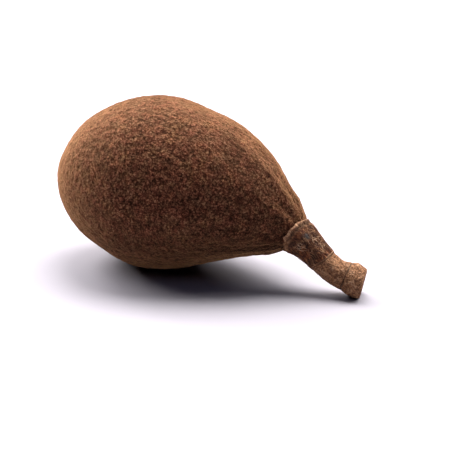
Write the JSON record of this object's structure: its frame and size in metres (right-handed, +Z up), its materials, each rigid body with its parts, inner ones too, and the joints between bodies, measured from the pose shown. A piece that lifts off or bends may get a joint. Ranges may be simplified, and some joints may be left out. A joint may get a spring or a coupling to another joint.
{
  "type": "baobab fruit pod",
  "caption": "Whole dry baobab fruit: a brown velvety egg-shaped pod lying on its belly, ribbed toward the neck, with its bent woody stalk.",
  "frame": {"origin": "on the floor under the middle of the pod and stalk together", "axes": "+X along the pod from its blossom end toward the cut stalk, +Z up as it lies at rest"},
  "size_m": [0.2002, 0.1038, 0.1034],
  "materials": {
    "pod_velvet": "velvety, granular, mottled brown",
    "stalk_bark": "rough fibrous bark, tan at the collar"
  },
  "bodies": {
    "root": {"fruit_pod": "pod_velvet", "stalk": "stalk_bark"}
  },
  "joints": []
}
